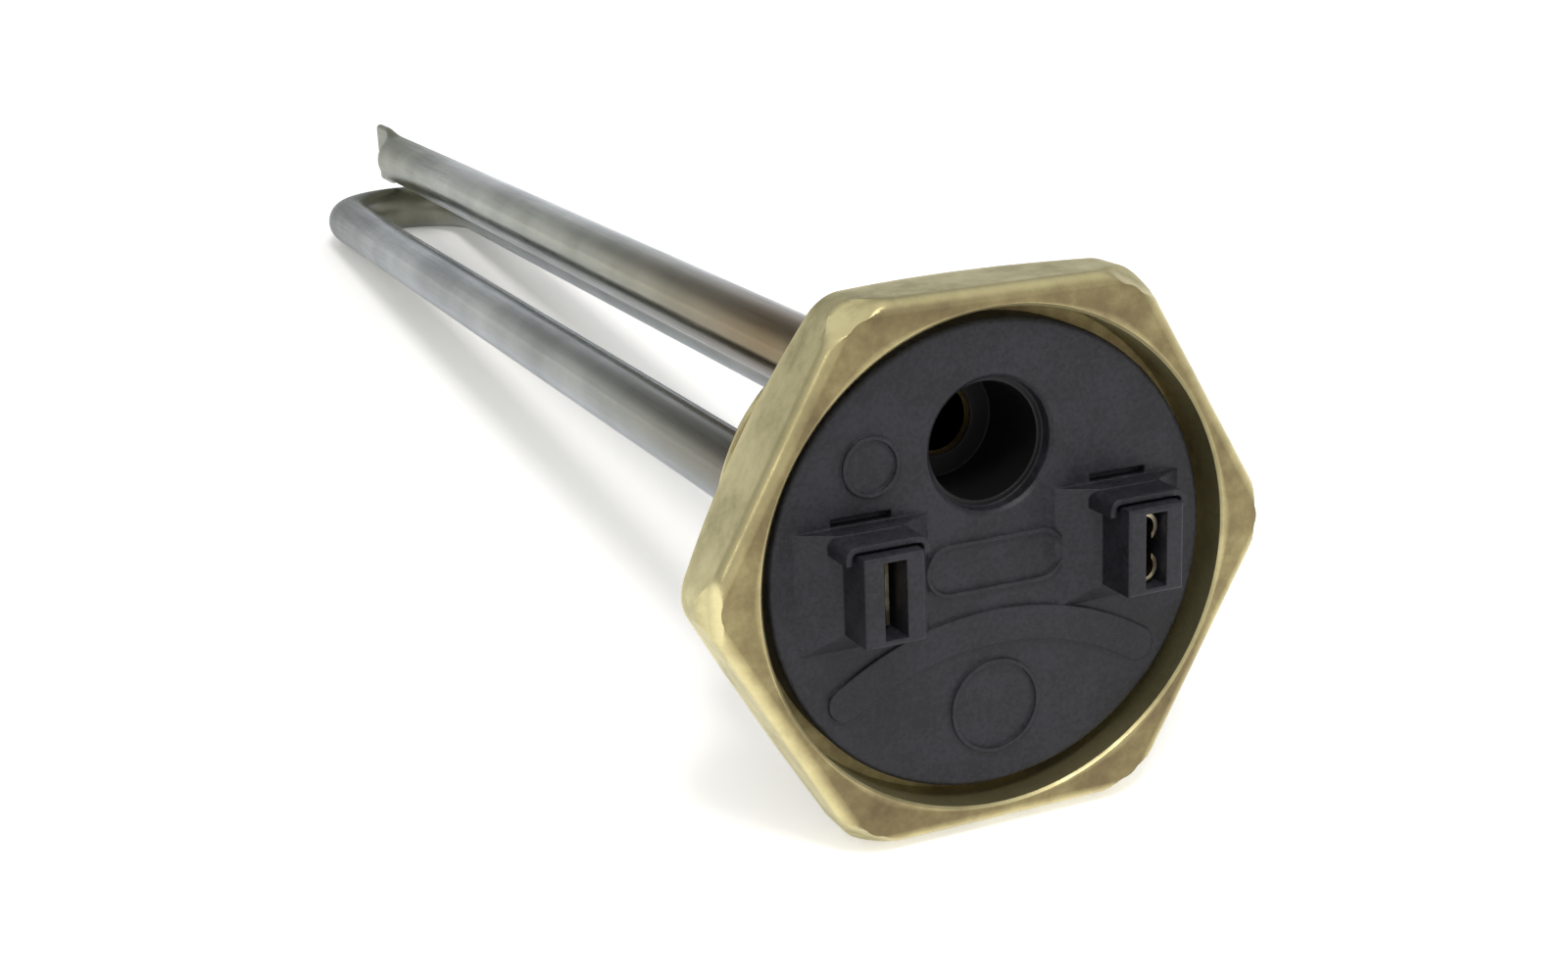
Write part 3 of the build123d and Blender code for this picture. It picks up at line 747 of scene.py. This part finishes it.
# Painted shade: near black inside the stem's bore, fading out over a fifth of a millimetre at its edge.
in_bore = add(tree, "ShaderNodeMapRange", {"Value": bore_distance.outputs["Value"],
                                           "From Min": bore_radius - bore_fade, "From Max": bore_radius,
                                           "To Min": 1.0, "To Max": 0.0})
skin = add(tree, "ShaderNodeMix", {0: in_bore.outputs[0], 6: grey.outputs[0], 7: linear("#121214")},
           data_type="RGBA")
softened = add(tree, "ShaderNodeBevel", {"Radius": mould_round}, samples=6)
bump = add(tree, "ShaderNodeBump", {"Height": grain.outputs["Fac"], "Strength": 0.7,
                                    "Distance": 0.04 * MM, "Normal": softened.outputs[0]})
dullness = add(tree, "ShaderNodeMapRange", {"Value": flow.outputs["Fac"], "To Min": 0.40, "To Max": 0.56})
tree.links.new(skin.outputs[2], shader.inputs["Base Color"])
tree.links.new(dullness.outputs[0], shader.inputs["Roughness"])
tree.links.new(bump.outputs[0], shader.inputs["Normal"])
shader.inputs["IOR"].default_value = 1.53
shader.inputs["Specular IOR Level"].default_value = 0.3
dress(["terminal_cover"], moulding)

# %% [markdown]
# The small pieces share one recipe: a base colour mottled by a noise of the size that the real surface
# shows, a roughness and a fine bump. Only their real stuff differs: tinned brass strip, drawn steel
# pins, glazed steatite beads, silicone seals, pressed magnesia powder and resistance wire.

# %% Finishes of the small pieces
def plain_finish(name, dark_hex, light_hex, metallic, roughness, mottle, relief):
    """A mottled finish: a noise of size mottle mixes two colours, and raises the skin by relief."""
    material, tree, shader = start_material(name)
    spot = add(tree, "ShaderNodeTexCoord")
    noise = add(tree, "ShaderNodeTexNoise", {"Vector": spot.outputs["Object"], "Scale": 1 / mottle,
                                             "Detail": 4})
    colour = add(tree, "ShaderNodeValToRGB", {"Fac": noise.outputs["Fac"]},
                 stops=((0.35, dark_hex), (0.65, light_hex)))
    bump = add(tree, "ShaderNodeBump", {"Height": noise.outputs["Fac"], "Strength": 0.5,
                                        "Distance": relief})
    tree.links.new(colour.outputs[0], shader.inputs["Base Color"])
    tree.links.new(bump.outputs[0], shader.inputs["Normal"])
    shader.inputs["Metallic"].default_value = metallic
    shader.inputs["Roughness"].default_value = roughness
    return material


sides = ("left", "right")
dress([f"tab_receptacle_{side}" for side in sides],
      plain_finish("tinned_brass_strip", "#81765F", "#BBB097", 1.0, 0.30, 1.2 * MM, 0.01 * MM))
dress([f"cold_pin_{side}" for side in sides],
      plain_finish("drawn_steel_pin", "#8C8B88", "#A6A5A1", 1.0, 0.32, 0.8 * MM, 0.01 * MM))
dress([f"ceramic_bead_{side}" for side in sides],
      plain_finish("steatite_bead", "#DAD1BC", "#E9E2D2", 0.0, 0.45, 0.6 * MM, 0.02 * MM))
dress([f"end_seal_{side}" for side in sides],
      plain_finish("silicone_seal", "#8A3E2C", "#9C4A35", 0.0, 0.50, 1.0 * MM, 0.03 * MM))
dress(["magnesia_packing"],
      plain_finish("pressed_magnesia", "#CFCBC0", "#E0DDD4", 0.0, 0.85, 0.3 * MM, 0.03 * MM))
dress(["resistance_coil"],
      plain_finish("resistance_wire", "#77746E", "#8F8C85", 1.0, 0.45, 0.5 * MM, 0.02 * MM))

# %% [markdown]
# Silver braze ran into the joints from outside and froze as a small hollow fillet, a little uneven round
# the tube. Its two legs, along the tube and along the base, wander by a few waves of the angle, and the
# skin between them is a quarter arc that sags inwards.

# %% Braze fillets
silver_braze = plain_finish("silver_braze", "#A39A7C", "#CFC7AE", 1.0, 0.34, 0.9 * MM, 0.04 * MM)
fillet_rows = 10


def braze_fillet(name, node, x, z, tube_radius, seed):
    """Closed ring with a hollow fillet as its section. The fillet's size round the tube is
    size (0.82 + 0.12 sin(2a + seed) + 0.06 sin(5a + 2 seed)), never over the solid's."""
    low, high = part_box(node)
    size = high.y - low.y
    height = size * (0.82 + 0.12 * np.sin(2 * around + seed) + 0.06 * np.sin(5 * around + 2 * seed))
    width = size * (0.82 + 0.12 * np.sin(3 * around + seed) + 0.06 * np.sin(7 * around + seed))
    turn = np.linspace(0, pi / 2, fillet_rows)[:, None]
    arc_radius = tube_radius + width * (1 - np.sin(turn))
    arc_y = low.y + height * (1 - np.cos(turn))
    radius = np.concatenate([arc_radius, np.full((1, tube_columns), tube_radius)])
    y = np.concatenate([arc_y, np.full((1, tube_columns), low.y)])
    points = np.stack([x + radius * np.cos(around), y, z + radius * np.sin(around)], axis=-1)
    patch = (points, grid_faces(len(points), tube_columns, True), {"edge": np.zeros(points.shape[:2])})
    make_piece(name, [patch], silver_braze, node)


braze_fillet("braze_fillet_left", "braze_ring_left", -leg_offset, leg_height, leg_hole, 0.4)
braze_fillet("braze_fillet_right", "braze_ring_right", leg_offset, leg_height, leg_hole, 2.1)
braze_fillet("braze_fillet_pocket", "braze_ring_pocket", 0, pocket_height, pocket_hole, 4.0)
